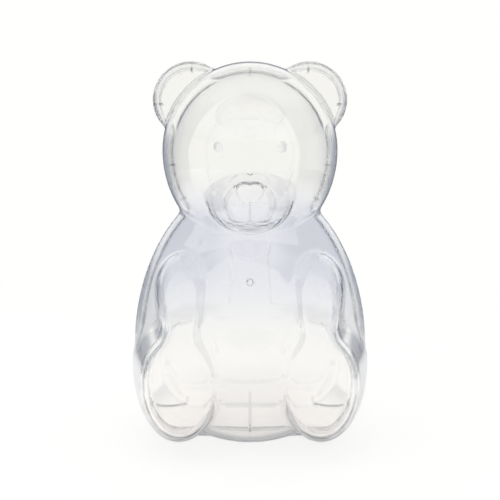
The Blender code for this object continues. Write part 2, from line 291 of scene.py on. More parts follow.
class BearStudio(bpy.types.PropertyGroup):
    """Camera, lamps and floor, with the floor's painted shade."""

    camera_distance: length("Camera distance", "From the parting plane", 0.2720)
    camera_height: length("Camera height", "Above the floor", 0.08765)
    field: length("Field", "Width of the parting plane that the camera sees", 0.17685)
    floor_radius: length("Floor radius", "Radius of the round floor", 0.45)
    horizon: share("Horizon", "Height of the horizon above the middle, of the width", 0.13)
    floor_colour: colour("Floor", "Colour of the floor", (0.93, 0.93, 0.93))
    floor_glow: share("Floor glow", "How far the floor shows the plain white", 0.8)
    white: colour("White", "The surroundings that the camera sees", (1.0, 1.0, 0.985))
    fill: colour("Fill", "The surroundings that light the scene", (0.95, 0.95, 0.95))
    window: share("Window", "Brightness of the window that the plastic reflects", 0.95)
    dark: colour("Dark", "The darker surroundings that the plastic's face reflects",
                 (0.14, 0.16, 0.21))
    # The under colour is painted shade: the floor under the bear as the plastic reflects it.
    under: colour("Under", "The floor under the bear, as its plastic reflects it",
                  (0.72, 0.72, 0.73))
    # The distance colour is painted shade: a painted pool of light leaves the floor far behind
    # darker, as the plastic reflects it.
    distance: colour("Distance", "The floor far behind, as the plastic reflects it",
                     (0.18, 0.20, 0.24))
    rear: colour("Rear", "The darkest surroundings, straight behind", (0.08, 0.09, 0.12))
    within: colour("Within", "The darker surroundings that its walls reflect inside",
                   (0.54, 0.56, 0.61))


@dataclass
class Outline:
    """A round outline in the XZ plane: an ellipse, or squarer where its power is over 2."""

    x: float
    z: float
    half_width: float
    rise: float
    drop: float
    power: float = 2.0

    def mirrored(self):
        return replace(self, x=-self.x)

    def towards(self, other, part):
        """The outline a part of the way to another one."""
        def between(name):
            start = getattr(self, name)
            return start + (getattr(other, name) - start) * part
        return Outline(*(between(name) for name in ("x", "z", "half_width", "rise", "drop")),
                       self.power)

    def reach(self, x, z):
        """1 on the outline and less inside, with its slopes along X and Z."""
        across, upward = x - self.x, z - self.z
        height = np.where(upward > 0, self.rise, self.drop)
        wide, high = np.abs(across) / self.half_width, np.abs(upward) / height
        radius = np.maximum(wide ** self.power + high ** self.power, tiny) ** (1 / self.power)
        lift = self.power - 1
        slope_x = np.sign(across) * (wide / radius) ** lift / self.half_width
        slope_z = np.sign(upward) * (high / radius) ** lift / height
        return radius, slope_x, slope_z

    def side(self, x, z):
        """Distance to the outline, less than 0 inside it, and the direction away from it."""
        radius, slope_x, slope_z = self.reach(x, z)
        steep = np.maximum(np.hypot(slope_x, slope_z), tiny)
        return (radius - 1) / steep, np.array([slope_x / steep, slope_z / steep])

    def place(self, degrees):
        """The point at an angle round the outline, and the angle that leads away from it there."""
        across, upward = math.cos(math.radians(degrees)), math.sin(math.radians(degrees))
        height = self.rise if upward > 0 else self.drop
        part = 2 / self.power
        x = self.x + math.copysign(abs(across) ** part, across) * self.half_width
        z = self.z + math.copysign(abs(upward) ** part, upward) * height
        return x, z, math.atan2(upward / height, across / self.half_width)


def unit(vector):
    return vector / np.maximum(np.sqrt((vector ** 2).sum(0)), tiny)


def blend(one, other, radius):
    """The union of two fields with a fillet, which fades out where they run alike."""
    (near, away), (far, off) = one, other
    turn = np.clip(1 - (away * off).sum(0), 0, 2) / 2
    width = radius * np.sqrt(turn) + tiny
    part = np.clip(0.5 + (far - near) / width / 2, 0, 1)
    distance = far + (near - far) * part - width * part * (1 - part)
    return distance, unit(away * part + off * (1 - part))


@dataclass
class Dome:
    """An outline carried straight from the parting plane to run, and closed in a dome."""

    seam: Outline
    run: float
    depth: float
    fullness: float = 2.0

    def field(self, x, deep, z):
        """Distance to the form, less than 0 inside it, and the direction away from it."""
        radius, slope_x, slope_z = self.seam.reach(x, z)
        height = self.depth - self.run
        rise = np.maximum(deep - self.run, 0) / height
        power = self.fullness
        grown = np.maximum(radius ** power + rise ** power, tiny) ** (1 / power)
        lift = power - 1
        part = (radius / grown) ** lift
        away = np.array([part * slope_x, (rise / grown) ** lift / height, part * slope_z])
        steep = np.maximum(np.sqrt((away ** 2).sum(0)), tiny)
        return (grown - 1) / steep, away / steep


def rounded_corner(side, face, radius):
    """The distance to a rounded corner between two faces, and how much each one counts there."""
    side, face = side + radius, face + radius
    out_side, out_face = np.maximum(side, 0), np.maximum(face, 0)
    beyond = np.hypot(out_side, out_face)
    distance = beyond + np.minimum(np.maximum(side, face), 0) - radius
    to_side = np.where(beyond > 0, out_side, side > face)
    to_face = np.where(beyond > 0, out_face, side <= face)
    return distance, to_side, to_face


@dataclass
class Pad:
    """An outline that draws in to another one and is closed by a face with a round edge.

    The face falls away by crown within shoulder of its outline, and curves back above
    recline_z. A partner is another pad whose outline this one's runs into, with a fillet."""

    seam: Outline
    end: Outline
    straight: float
    depth: float
    edge: float
    crown: float = 0.0
    shoulder: float = 1.0
    recline_z: float = 0.0
    recline: float = math.inf
    partner: "Pad" = None
    fillet: float = 0.0

    def side(self, x, deep, z):
        way = np.clip((deep - self.straight) / (self.depth - self.edge - self.straight), 0, 1)
        side = self.seam.towards(self.end, way).side(x, z)
        if self.partner:
            side = blend(side, self.partner.side(x, deep, z), self.fillet)
        return side

    def field(self, x, deep, z):
        """Distance to the form, less than 0 inside it, and the direction away from it."""
        side, out = self.side(x, deep, z)
        fall = np.maximum(1 + side / self.shoulder, 0)
        tilt = 2 * self.crown / self.shoulder * fall
        above = np.maximum(z - self.recline_z, 0)
        back = above / self.recline
        lean = np.sqrt(1 + tilt ** 2 + back ** 2)
        face = self.depth - self.crown * fall ** 2 - above * back / 2
        distance, to_side, to_face = rounded_corner(side, (deep - face) / lean, self.edge)
        to_front = to_face / lean
        sideways = to_side + to_front * tilt
        return distance, unit(np.array([sideways * out[0], to_front,
                                        sideways * out[1] + to_front * back]))


def rounded_cut(one, height, radius):
    """A field cut flat at height 0, with a rounded edge."""
    distance, away = one
    cut, to_side, to_under = rounded_corner(distance, -height, radius)
    down = np.zeros_like(away)
    down[2] = -1
    return cut, unit(away * to_side + down * to_under)


def outline_of(group, name):
    """The outline whose sizes a group of properties holds under a name."""
    return Outline(*(getattr(group, f"{name}_{size}")
                     for size in ("x", "z", "half_width", "rise", "drop")))


class Bear:
    """The forms of the bear and the fillets between them, in metres.

    front_fillets and back_fillets are each that of the limbs and that of the seat."""

    skull_fullness = 2.2
    seat_power = 3
    body_fillet = 0.0060
    front_fillets = (0.0030, 0.0020)
    back_fillets = (0.0080, 0.0100)
    muzzle_fillet = 0.0035
    ear_fillet = 0.0026
    neck_fillet = 0.0032

    def __init__(self, scene):
        wall, head = scene.bear_wall, scene.bear_head
        body, limbs = scene.bear_body, scene.bear_limbs
        self.base_edge = body.base_edge
        self.probe = wall.mesh_step / 20
        run = wall.side_run
        face = dict(crown=limbs.crown, shoulder=limbs.shoulder, recline_z=limbs.recline_z,
                    recline=limbs.recline)
        skull = Outline(0, head.z, head.half_width, head.rise, head.drop)
        trunk = Outline(0, body.z, body.half_width, body.rise, body.drop)
        belly = Outline(0, body.z, body.belly_half_width, body.belly_rise, body.belly_drop)
        muzzle = Outline(0, head.muzzle_z, head.muzzle_half_width, head.muzzle_half_height,
                         head.muzzle_half_height)
        snout = Outline(0, head.snout_z, head.snout_half_width, head.snout_rise, head.snout_drop)
        ear = Outline(head.ear_x, head.ear_z, head.ear_radius, head.ear_radius, head.ear_radius)
        arm, palm, leg, sole = (outline_of(limbs, name) for name in ("arm", "palm", "leg", "sole"))
        seat = Outline(0, body.seat_z, body.seat_half_width, body.seat_half_height,
                       body.seat_half_height, self.seat_power)
        rear = replace(seat, half_width=body.seat_half_width - body.seat_draft,
                       rise=body.seat_rear_rise)
        arm_pad = Pad(arm, palm, limbs.arm_root, limbs.arm_front, limbs.arm_edge)
        self.seams = dict(head=skull, leg=leg, seat=seat, ear=ear)
        self.front = dict(
            skull=Dome(skull, run, head.front, self.skull_fullness),
            muzzle=Pad(muzzle, snout, head.muzzle_root, head.muzzle_front, head.muzzle_edge,
                       head.muzzle_crown, head.muzzle_shoulder),
            trunk=Dome(trunk, run, body.front),
            belly=Dome(belly, run, body.belly_front),
            seat=Pad(seat, seat, 0, body.seat_front, body.seat_edge_front),
            ear=Pad(ear, ear, 0, head.ear_front, head.ear_edge),
            limb=Pad(leg, sole, run, limbs.leg_front, limbs.leg_edge, partner=arm_pad,
                     fillet=limbs.waist_fillet, **face))
        self.back = dict(
            skull=Dome(skull, wall.back_run, head.back, self.skull_fullness),
            trunk=Dome(trunk, wall.back_run, body.back),
            seat=Pad(seat, rear, 0, body.seat_back, body.seat_edge_back),
            ear=Pad(ear, ear, 0, head.ear_back, head.ear_edge),
            limb=Dome(leg, limbs.leg_run_back, limbs.leg_back))

    def both(self, form, x, deep, z):
        """A form and its mirror image, which stay apart."""
        distance, away = form.field(np.abs(x), deep, z)
        away[0] *= np.where(x < 0, -1, 1)
        return distance, away

    def field(self, x, deep, z, in_front):
        """The whole bear on one side of the parting plane."""
        forms = self.front if in_front else self.back
        body = forms["trunk"].field(x, deep, z)
        if in_front:
            body = blend(body, forms["belly"].field(x, deep, z), self.body_fillet)
        limb_fillet, seat_fillet = self.front_fillets if in_front else self.back_fillets
        body = blend(body, forms["seat"].field(x, deep, z), seat_fillet)
        body = blend(body, self.both(forms["limb"], x, deep, z), limb_fillet)
        head = forms["skull"].field(x, deep, z)
        if in_front:
            head = blend(head, forms["muzzle"].field(x, deep, z), self.muzzle_fillet)
        head = blend(head, self.both(forms["ear"], x, deep, z), self.ear_fillet)
        whole = blend(body, head, self.neck_fillet)
        return rounded_cut(whole, z, self.base_edge)

    def at(self, points, in_front):
        """The field at points given as rows, in_front telling each one's side."""
        distance = np.empty(len(points))
        away = np.empty((3, len(points)))
        for side, rows in ((True, in_front), (False, ~in_front)):
            x, y, z = points[rows].T
            deep = np.maximum((parting_y - y) if side else (y - parting_y), 0)
            found, direction = self.field(x, deep, z, side)
            distance[rows] = found
            if side:
                direction[1] *= -1
            away[:, rows] = direction
        return distance, away.T

    def onto(self, points, in_front, level=None, rounds=4):
        """Points moved onto the bear's surface, of which those flagged in level keep their Y."""
        for _ in range(rounds):
            distance, away = self.at(points, in_front)
            if level is not None:
                away[level, 1] = 0
            points = points - away * distance[:, None]
        return points

    def normals(self, points, in_front):
        """The exact direction away from the bear, from differences of its field."""
        slopes = []
        for shift in np.eye(3) * self.probe:
            ahead, behind = (self.at(points + side * shift, in_front)[0] for side in (1, -1))
            slopes.append(ahead - behind)
        return unit(np.array(slopes)).T


def wrapped(inside):
    """Cells where a grid of inside flags changes, and the faces that part in from out."""
    count = sum(inside[a:a - 1 or None, b:b - 1 or None, c:c - 1 or None].astype(np.int8)
                for a in (0, 1) for b in (0, 1) for c in (0, 1))
    mixed = (count > 0) & (count < 8)
    index = np.full(mixed.shape, -1)
    cells = np.argwhere(mixed)
    index[mixed] = np.arange(len(cells))
    faces = []
    for axis in range(3):
        others = [(axis + 1) % 3, (axis + 2) % 3]
        turned = np.moveaxis(inside, [axis, *others], [0, 1, 2])
        places = np.moveaxis(index, [axis, *others], [0, 1, 2])
        low, high = turned[:-1, 1:-1, 1:-1], turned[1:, 1:-1, 1:-1]
        for outward in (True, False):
            i, j, k = np.nonzero((low > high) if outward else (low < high))
            ring = [places[i, j, k], places[i, j + 1, k], places[i, j + 1, k + 1],
                    places[i, j, k + 1]]
            faces.append(np.stack(ring if outward else ring[::-1], 1))
    return cells, np.concatenate(faces)


class Skin:
    """The bear's smooth outer surface as faces, with every point's side of the parting plane."""

    relax_rounds = 10
    margin_cells = 3

    def __init__(self, bear, step):
        low = np.array(cad_box[0]) - self.margin_cells * step
        high = np.array(cad_box[1]) + self.margin_cells * step
        half = step / 2
        columns = np.arange(half, high[0], step)
        x = np.concatenate([-columns[::-1], columns])
        ahead = parting_y - np.arange(half, parting_y - low[1], step)[::-1]
        behind = parting_y + np.arange(half, high[1] - parting_y, step)
        z = np.arange(low[2], high[2], step)
        inside = np.zeros((len(x), len(ahead) + len(behind), len(z)), bool)
        for start, rows, in_front in ((0, ahead, True), (len(ahead), behind, False)):
            grid = np.meshgrid(x, np.abs(rows - parting_y), z, indexing="ij")
            field = bear.field(*(axis.astype(np.float32) for axis in grid), in_front)[0]
            inside[:, start:start + len(rows)] = field < 0
        seam = len(ahead) - 1
        inside[:, seam + 1] = inside[:, seam]
        cells, self.faces = wrapped(inside)
        self.layer = cells[:, 1] - seam
        origin = np.array([x[0], ahead[0], z[0]])
        self.on_seam = self.layer == 0
        self.in_front = self.layer <= 0
        self.points = self.relaxed(bear, origin + (cells + 0.5) * step)
        self.normals = bear.normals(self.points, self.in_front)
        self.normals[self.on_seam, 1] = 0
        self.normals = unit(self.normals.T).T

    def relaxed(self, bear, points):
        """Points evened out along the surface."""
        ends = np.concatenate([self.faces[:, [a, (a + 1) % 4]] for a in range(4)])
        count = np.bincount(ends[:, 0], minlength=len(points))
        points = bear.onto(points, self.in_front, self.on_seam)
        for _ in range(self.relax_rounds):
            middle = np.stack([np.bincount(ends[:, 0], points[ends[:, 1], axis], len(points))
                               for axis in range(3)], 1) / count[:, None]
            move = (middle - points) / 2
            move[self.on_seam, 1] = 0
            away = bear.at(points, self.in_front)[1]
            away[self.on_seam, 1] = 0
            move -= away * (move * away).sum(1)[:, None]
            points = bear.onto(points + move, self.in_front, self.on_seam, rounds=1)
        points = bear.onto(points, self.in_front, self.on_seam)
        points[self.on_seam, 1] = parting_y
        return points


class Half:
    """One shell cut from the skin: outer face, inner face and the rim between them."""

    def __init__(self, skin, in_front):
        sign = -1 if in_front else 1
        kept = (skin.layer[skin.faces] * sign >= 0).all(1)
        kept &= ~skin.on_seam[skin.faces].all(1)
        faces = skin.faces[kept]
        used = np.unique(faces)
        index = np.full(len(skin.points), -1)
        index[used] = np.arange(len(used))
        self.sign = sign
        self.faces = index[faces]
        self.points = skin.points[used].copy()
        self.normals = skin.normals[used]
        self.on_seam = skin.on_seam[used]
        self.deep = (self.points[:, 1] - parting_y) * sign

    def edges_on_seam(self):
        """The rim's edges, each in the order that its face goes round."""
        pairs = np.concatenate([self.faces[:, [a, (a + 1) % 4]] for a in range(4)])
        return pairs[self.on_seam[pairs].all(1)]

    def closed(self, thickness, profile):
        """Points and faces of the closed shell.

        thickness is the wall's at each point. profile holds the rim's steps from the
        outer face to the inner one, as pairs of inset and depth."""
        outer = self.points.copy()
        inner = self.points - self.normals * thickness[:, None]
        rim = self.on_seam
        steps = [self.points[rim] - self.normals[rim] * inset
                 + np.array([0, self.sign * depth, 0]) for inset, depth in profile]
        outer[rim], inner[rim] = steps[0], steps[-1]
        count, around = len(outer), rim.sum()
        place = np.full(count, -1)
        place[rim] = np.arange(around)
        rows = [np.arange(count)]
        rows += [2 * count + number * around + place for number in range(len(profile) - 2)]
        rows.append(rows[0] + count)
        start, end = self.edges_on_seam().T
        faces = [self.faces, self.faces[:, ::-1] + count]
        for row, after in zip(rows, rows[1:]):
            faces.append(np.stack([row[end], row[start], after[start], after[end]], 1))
        return np.concatenate([outer, inner, *steps[1:-1]]), np.concatenate(faces)


def ramp(value, low, high):
    """0 at low and 1 at high, smooth between them."""
    part = np.clip((value - low) / (high - low), 0, 1)
    return part * part * (3 - 2 * part)


def thickness_from(half, wall, rim, start):
    """A half's wall at each point: rim up to the depth start, then growing to the full wall."""
    return rim + (wall.wall - rim) * ramp(half.deep, start, start + wall.rim_taper)


class Reliefs:
    """Nose, mouth, eyes and gate mark, as heights over the front of the skin.

    The reaches are shares of a line's half width, and the eyes' of their own size."""

    heart_shares = (0.16, 1.05, -0.23, -0.10)
    heart_lobes = 2.5
    heart_steps = 96
    heart_reach = 0.5
    groove_reach = 1.4
    gate_reach = 0.8
    eye_reach = 1.1
    eye_margin = 1.2
    smile_fade = 0.7
    face_reach = 2
    cuts = 3
    inner_share = 0.8

    def __init__(self, scene):
        self.face = scene.bear_face
        self.wall = scene.bear_wall.wall
        self.step = scene.bear_wall.mesh_step
        turn = np.linspace(0, math.tau, self.heart_steps, endpoint=False)
        across = np.copysign(np.abs(np.sin(turn)) ** self.heart_lobes, np.sin(turn))
        upward = sum(part * np.cos(order * turn)
                     for order, part in enumerate(self.heart_shares))
        self.heart = np.stack([across * self.face.nose_width / 2,
                               self.face.nose_z + upward * self.face.nose_height / 2], 1)

    def heart_distance(self, x, z):
        """Distance to the nose's outline, less than 0 inside it."""
        point = np.stack([x, z], -1)[:, None]
        start, end = self.heart, np.roll(self.heart, -1, 0)
        along = end - start
        part = ((point - start) * along).sum(-1) / (along ** 2).sum(-1)
        nearest = start + np.clip(part, 0, 1)[..., None] * along
        distance = np.sqrt(((point - nearest) ** 2).sum(-1)).min(1)
        between = (start[:, 1] > z[:, None]) != (end[:, 1] > z[:, None])
        with np.errstate(divide="ignore", invalid="ignore"):
            crossing = start[:, 0] + (z[:, None] - start[:, 1]) * along[:, 0] / along[:, 1]
        inside = (between & (x[:, None] < crossing)).sum(1) % 2 == 1
        return np.where(inside, -distance, distance)

    def mouth_distance(self, x, z):
        """Distance to the mouth's lines: one upright and an arc to each corner."""
        face = self.face
        x = np.abs(x)
        middle_z = face.smile_z + face.smile_radius
        inner_z = middle_z - math.sqrt(face.smile_radius ** 2 - face.smile_x ** 2)
        end_x = face.smile_end - face.smile_x
        end_z = middle_z - math.sqrt(face.smile_radius ** 2 - end_x ** 2)
        upright = np.hypot(x, z - np.clip(z, inner_z, face.line_top))
        arc = np.abs(np.hypot(x - face.smile_x, z - middle_z) - face.smile_radius)
        arc = np.where(x > face.smile_end, np.hypot(x - face.smile_end, z - end_z), arc)
        arc = np.where(z > middle_z, face.smile_radius, arc)
        return np.minimum(upright, arc)

    def eye_share(self, x, z):
        """0 at the middle of an eye and 1 on its outline."""
        face = self.face
        return np.hypot((np.abs(x) - face.eye_x) / face.eye_half_width,
                        (z - face.eye_z) / face.eye_half_height)

    def gate_distance(self, x, z):
        return np.abs(np.hypot(x, z - self.face.gate_z) - self.face.gate_radius)

    def height(self, x, z, inner):
        """How far the skin stands out over the plain forms, outside and on the inner face."""
        face, line = self.face, self.face.line_half_width
        edge = self.heart_distance(x, z)
        side = line * self.heart_reach
        nose = face.nose_relief * (1 - ramp(edge, -side, side))
        nose = nose - face.nose_groove * (1 - ramp(np.abs(edge), 0, line * self.groove_reach))
        mouth = -face.line_relief * (1 - ramp(self.mouth_distance(x, z), 0, line))
        mouth = mouth * (1 - ramp(np.abs(x), face.smile_end * self.smile_fade, face.smile_end))
        eyes = face.eye_relief * (1 - ramp(self.eye_share(x, z), 0, self.eye_reach))
        gate = face.gate_relief * (1 - ramp(self.gate_distance(x, z), 0, line * self.gate_reach))
        return (nose + mouth + gate) * np.where(inner, self.inner_share, 1) + eyes

    def near(self, points):
        """The points whose faces need to be finer."""
        face = self.face
        reach = face.line_half_width + self.step
        aside = np.abs(points[:, 0])
        near = (points[:, 1] < -face.reach) & (aside < face.eye_x * self.face_reach)
        x, _, z = points[near].T
        found = self.heart_distance(x, z) < reach
        found |= self.mouth_distance(x, z) < reach
        found |= self.gate_distance(x, z) < reach
        found |= np.hypot(np.abs(x) - face.eye_x, z - face.eye_z) < (
            face.eye_half_height * self.eye_margin + self.step)
        near[near] = found
        return near

    def press(self, made, bear):
        """Makes the faces finer at the reliefs, and moves both sides of the wall out."""
        bm = bmesh.new()
        bm.from_mesh(made.data)
        near = self.near(np.array([vertex.co for vertex in bm.verts]))
        edges = [edge for edge in bm.edges if all(near[vertex.index] for vertex in edge.verts)]
        bmesh.ops.subdivide_edges(bm, edges=edges, cuts=self.cuts, use_grid_fill=True)
        points = np.array([vertex.co for vertex in bm.verts])
        moved = np.nonzero(self.near(points))[0]
        bm.verts.ensure_lookup_table()
        for index, place in zip(moved, self.pressed(points[moved], bear)):
            bm.verts[index].co = place
        bm.to_mesh(made.data)
        bm.free()

    def pressed(self, points, bear):
        """Points on either side of the front wall, moved out by the reliefs."""
        in_front = np.ones(len(points), bool)
        distance, away = bear.at(points, in_front)
        inner = distance < -self.wall / 2
        depth = np.where(inner, self.wall, 0)
        surface = bear.onto(points + depth[:, None] * away, in_front)
        rise = self.height(surface[:, 0], surface[:, 2], inner) - depth
        return surface + bear.normals(surface, in_front) * rise[:, None]


def add_object(name, data):
    made = bpy.data.objects.new(name, data)
    bpy.context.scene.collection.objects.link(made)
    return made


def add_mesh(name, points, edges=(), faces=()):
    mesh = bpy.data.meshes.new(name)
    mesh.from_pydata(points, edges, faces)
    return add_object(name, mesh)


def settle(made):
    """Turns an object's modifiers into its plain mesh."""
    bpy.context.view_layer.update()
    evaluated = made.evaluated_get(bpy.context.evaluated_depsgraph_get())
    mesh = bpy.data.meshes.new_from_object(evaluated)
    made.modifiers.clear()
    made.data = mesh


def combine(made, other, operation):
    """Adds another object's mesh to the mesh or cuts it from it, and removes the object."""
    change = made.modifiers.new(operation, "BOOLEAN")
    change.operation = operation
    change.object = other
    change.solver = "MANIFOLD"
    change.material_mode = "TRANSFER" if other.data.materials else "INDEX"
    settle(made)
    bpy.data.objects.remove(other)


def finish_shell(made, body, solid):
    """Gives a shell its shading, and hands it to the frame."""
    made.data.shade_smooth()
    made.data.set_sharp_from_angle(angle=sharp_angle)
    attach(made, body)
    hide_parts(solid)


class Value:
    """A shader socket that can be used in sums."""

    def __init__(self, tree, socket):
        self.tree = tree
        self.socket = socket

    def math(self, operation, *others):
        return self.tree.node("ShaderNodeMath", {"operation": operation}, self, *others)

    def __add__(self, other):
        return self.math("ADD", other)

    def __radd__(self, other):
        return self.math("ADD", other)

    def __sub__(self, other):
        return self.math("SUBTRACT", other)

    def __rsub__(self, other):
        return self.tree.node("ShaderNodeMath", {"operation": "SUBTRACT"}, other, self)

    def __mul__(self, other):
        return self.math("MULTIPLY", other)

    def __rmul__(self, other):
        return self.math("MULTIPLY", other)

    def over(self, low, high):
        """0 at low and 1 at high, smooth between them."""
        settings = {"interpolation_type": "SMOOTHSTEP"}
        return self.tree.node("ShaderNodeMapRange", settings, self, low, high)

    def between(self, rise, fall):
        """1 from the end of rise to the start of fall, 0 beyond them, smooth between."""
        return self.over(*rise) * (1 - self.over(*fall))


class Tree:
    """A node tree with one short way to add any node."""

    mix_colours = (6, 7)
    mix_result = 2

    def __init__(self, tree):
        self.tree = tree

    def node(self, kind, settings, *values, output=0, numbered=(), **named):
        """Adds a node, and gives one of its outputs. The values fill its first inputs."""
        made = self.tree.nodes.new(kind)
        for name, setting in settings.items():
            setattr(made, name, setting)
        for key, value in [*enumerate(values), *numbered]:
            self.feed(made, key, value)
        for key, value in named.items():
            self.feed(made, key.replace("_", " "), value)
        return Value(self, made.outputs[output]) if made.outputs else None

    def feed(self, node, key, value):
        """Links a value to a node's input, or sets the input to it."""
        if isinstance(value, Value):
            self.tree.links.new(value.socket, node.inputs[key])
        else:
            node.inputs[key].default_value = value

    def fill(self, node, values):
        """Feeds a node's inputs by their names."""
        for key, value in values.items():
            self.feed(node, key, value)

    def coordinates(self):
        return self.node("ShaderNodeTexCoord", {}, output="Object")

    def axes(self, place, letters):
        """The named parts of a place or direction."""
        return [self.node("ShaderNodeSeparateXYZ", {}, place, output=letter) for letter in letters]

    def ray(self, kind):
        """What is known of the ray that meets the surface."""
        return self.node("ShaderNodeLightPath", {}, output=kind)

    def mixed(self, part, one, other):
        """A colour that lies a part of the way from one to the other."""
        colours = [given if isinstance(given, Value) else (*given, 1) for given in (one, other)]
        return self.node("ShaderNodeMix", {"data_type": "RGBA"}, part, output=self.mix_result,
                         numbered=zip(self.mix_colours, colours))


class Nodes(Tree):
    """A Geometry Nodes group with named inputs, which ends in plain geometry."""

    kinds = {"Geometry": "NodeSocketGeometry", "Material": "NodeSocketMaterial"}

    def __init__(self, name, *inputs):
        super().__init__(bpy.data.node_groups.new(name, "GeometryNodeTree"))
        for given in ("Geometry", *inputs, "Material"):
            kind = self.kinds.get(given, "NodeSocketFloat")
            self.tree.interface.new_socket(name=given, in_out="INPUT", socket_type=kind)
        self.tree.interface.new_socket(name="Geometry", in_out="OUTPUT",
                                       socket_type="NodeSocketGeometry")
        self.given = self.tree.nodes.new("NodeGroupInput")

    def input(self, name):
        return Value(self, self.given.outputs[name])

    def end(self, geometry):
        whole = self.node("GeometryNodeRealizeInstances", {}, geometry)
        done = self.node("GeometryNodeSetMaterial", {}, whole, Material=self.input("Material"))
        self.node("NodeGroupOutput", {}, done)

    def grow(self, made, **values):
        """Runs the group on an object and keeps the result as its plain mesh."""
        modifier = made.modifiers.new(self.tree.name, "NODES")
        modifier.node_group = self.tree
        for socket in self.tree.interface.items_tree:
            if socket.in_out == "INPUT" and socket.name in values:
                modifier[socket.identifier] = values[socket.name]
        settle(made)


def blocks_tree():
    """A block on every point, turned about the Y axis by the point's turn."""
    nodes = Nodes("blocks across a rim", "Width", "Run", "Reach")
    size = nodes.node("ShaderNodeCombineXYZ", {}, nodes.input("Reach"), nodes.input("Run"),
                      nodes.input("Width"))
    block = nodes.node("GeometryNodeMeshCube", {}, size)
    turn = nodes.node("GeometryNodeInputNamedAttribute", {"data_type": "FLOAT"}, "turn")
    angles = nodes.node("ShaderNodeCombineXYZ", {}, 0, turn, 0)
    rotation = nodes.node("FunctionNodeEulerToRotation", {}, angles)
    points = nodes.node("GeometryNodeMeshToPoints", {}, nodes.input("Geometry"))
    nodes.end(nodes.node("GeometryNodeInstanceOnPoints", {}, points, Instance=block,
                         Rotation=rotation))
    return nodes


def ridges_tree(sides=12):
    """A round bar along every chain of edges, closed at its ends."""
    nodes = Nodes("ridges along paths", "Radius")
    path = nodes.node("GeometryNodeMeshToCurve", {}, nodes.input("Geometry"))
    section = nodes.node("GeometryNodeCurvePrimitiveCircle", {}, sides,
                         Radius=nodes.input("Radius"))
    nodes.end(nodes.node("GeometryNodeCurveToMesh", {}, path, Profile_Curve=section,
                         Fill_Caps=True))
    return nodes


# The outline that carries each locating rib, and the rib's angle round it in degrees.
rib_places = [
    ("head", 90), ("head", -9), ("head", 189), ("head", -32), ("head", 212),
    ("ear", 90), ("ear mirrored", 90), ("ear mirrored", 186), ("ear", -6),
    ("leg mirrored", 218), ("leg", -38), ("seat", -90),
]


def rim_blocks(name, bear, near, far, width, start, end, material):
    """Blocks across the rim at the locating ribs, from inset near to inset far."""
    seams = dict(bear.seams)
    for side in ("ear", "leg"):
        seams[side + " mirrored"] = seams[side].mirrored()
    places, turns = [], []
    for carrier, degrees in rib_places:
        x, z, turn = seams[carrier].place(degrees)
        inset = (near + far) / 2
        places.append((x - math.cos(turn) * inset, parting_y + (start + end) / 2,
                       max(z, 0) - math.sin(turn) * inset))
        turns.append(-turn)
    made = add_mesh(name, places)
    made.data.attributes.new("turn", "FLOAT", "POINT").data.foreach_set("value", turns)
    blocks_tree().grow(made, Width=width, Run=end - start, Reach=far - near,
                       Material=material)
    return made


def inside_points(bear, wall, pivots, rays, reach, halvings=30):
    """Where rays from pivots inside the back shell meet its inner face, up to reach away."""
    near, far = np.zeros(len(rays)), np.full(len(rays), reach)
    behind = np.zeros(len(rays), bool)
    for _ in range(halvings):
        middle = (near + far) / 2
        inside = bear.at(pivots + rays * middle[:, None], behind)[0] < -wall
        near, far = np.where(inside, middle, near), np.where(inside, far, middle)
    return pivots + rays * near[:, None]


def seat_path(bear, wall, start, end, pivot_z, steps=40):
    """A path on the inside of the seat, in the upright plane through start and end."""
    start, end = np.array(start), np.array(end)
    pivot = (start + end) / 2
    pivot[2] = pivot_z
    along = end - start
    along[2] = 0
    along /= np.linalg.norm(along)

    def angle(point):
        return math.atan2(point[2] - pivot_z, (point - pivot) @ along) % math.tau

    turns = np.linspace(angle(start), angle(end) + math.tau * (angle(end) < math.pi), steps)
    rays = np.cos(turns)[:, None] * along + np.sin(turns)[:, None] * np.array((0, 0, 1))
    return inside_points(bear, wall, np.tile(pivot, (steps, 1)), rays,
                         np.linalg.norm(end - start))


def bead_path(bear, wall, half_width, rear, pivot_z, steps=40):
    """A path along the rear corner of the seat."""
    pivots = np.zeros((steps, 3))
    pivots[:, 0] = np.linspace(-half_width, half_width, steps)
    pivots[:, 1] = rear - pivot_z
    pivots[:, 2] = pivot_z
    ray = np.array((0, 1, -1)) / math.sqrt(2)
    return inside_points(bear, wall, pivots, np.tile(ray, (steps, 1)), 2 * pivot_z)


def ridges(name, paths, radius, material):
    """Round bars along paths that have equally many points."""
    count = len(paths[0])
    edges = [(number * count + step, number * count + step + 1)
             for number in range(len(paths)) for step in range(count - 1)]
    made = add_mesh(name, np.concatenate(paths).tolist(), edges)
    ridges_tree().grow(made, Radius=radius, Material=material)
    return made


def seat_ribs(bear, scene, material):
    """Ribs on the inside of the seat: one in the middle, and one to each side."""
    ribs, wall = scene.bear_ribs, scene.bear_wall.wall
    front, rear = parting_y + ribs.seat_start, parting_y + ribs.seat_end
    runs = [((0, front, wall), (0, rear, ribs.middle_top))]
    for side in (-1, 1):
        runs.append(((side * ribs.side_start_x, front, ribs.side_start_z),
                     (side * ribs.side_end_x, rear, ribs.side_top)))
    paths = [seat_path(bear, wall, start, end, ribs.pivot_z) for start, end in runs]
    return ridges("seat ribs", paths, ribs.seat_radius, material)


def rear_bead(bear, scene, material):
    """A bead along the rear corner of the seat."""
    ribs = scene.bear_ribs
    path = bead_path(bear, scene.bear_wall.wall, ribs.bead_half_width,
                     parting_y + ribs.seat_end, ribs.pivot_z)
    return ridges("rear bead", [path], ribs.bead_radius, material)


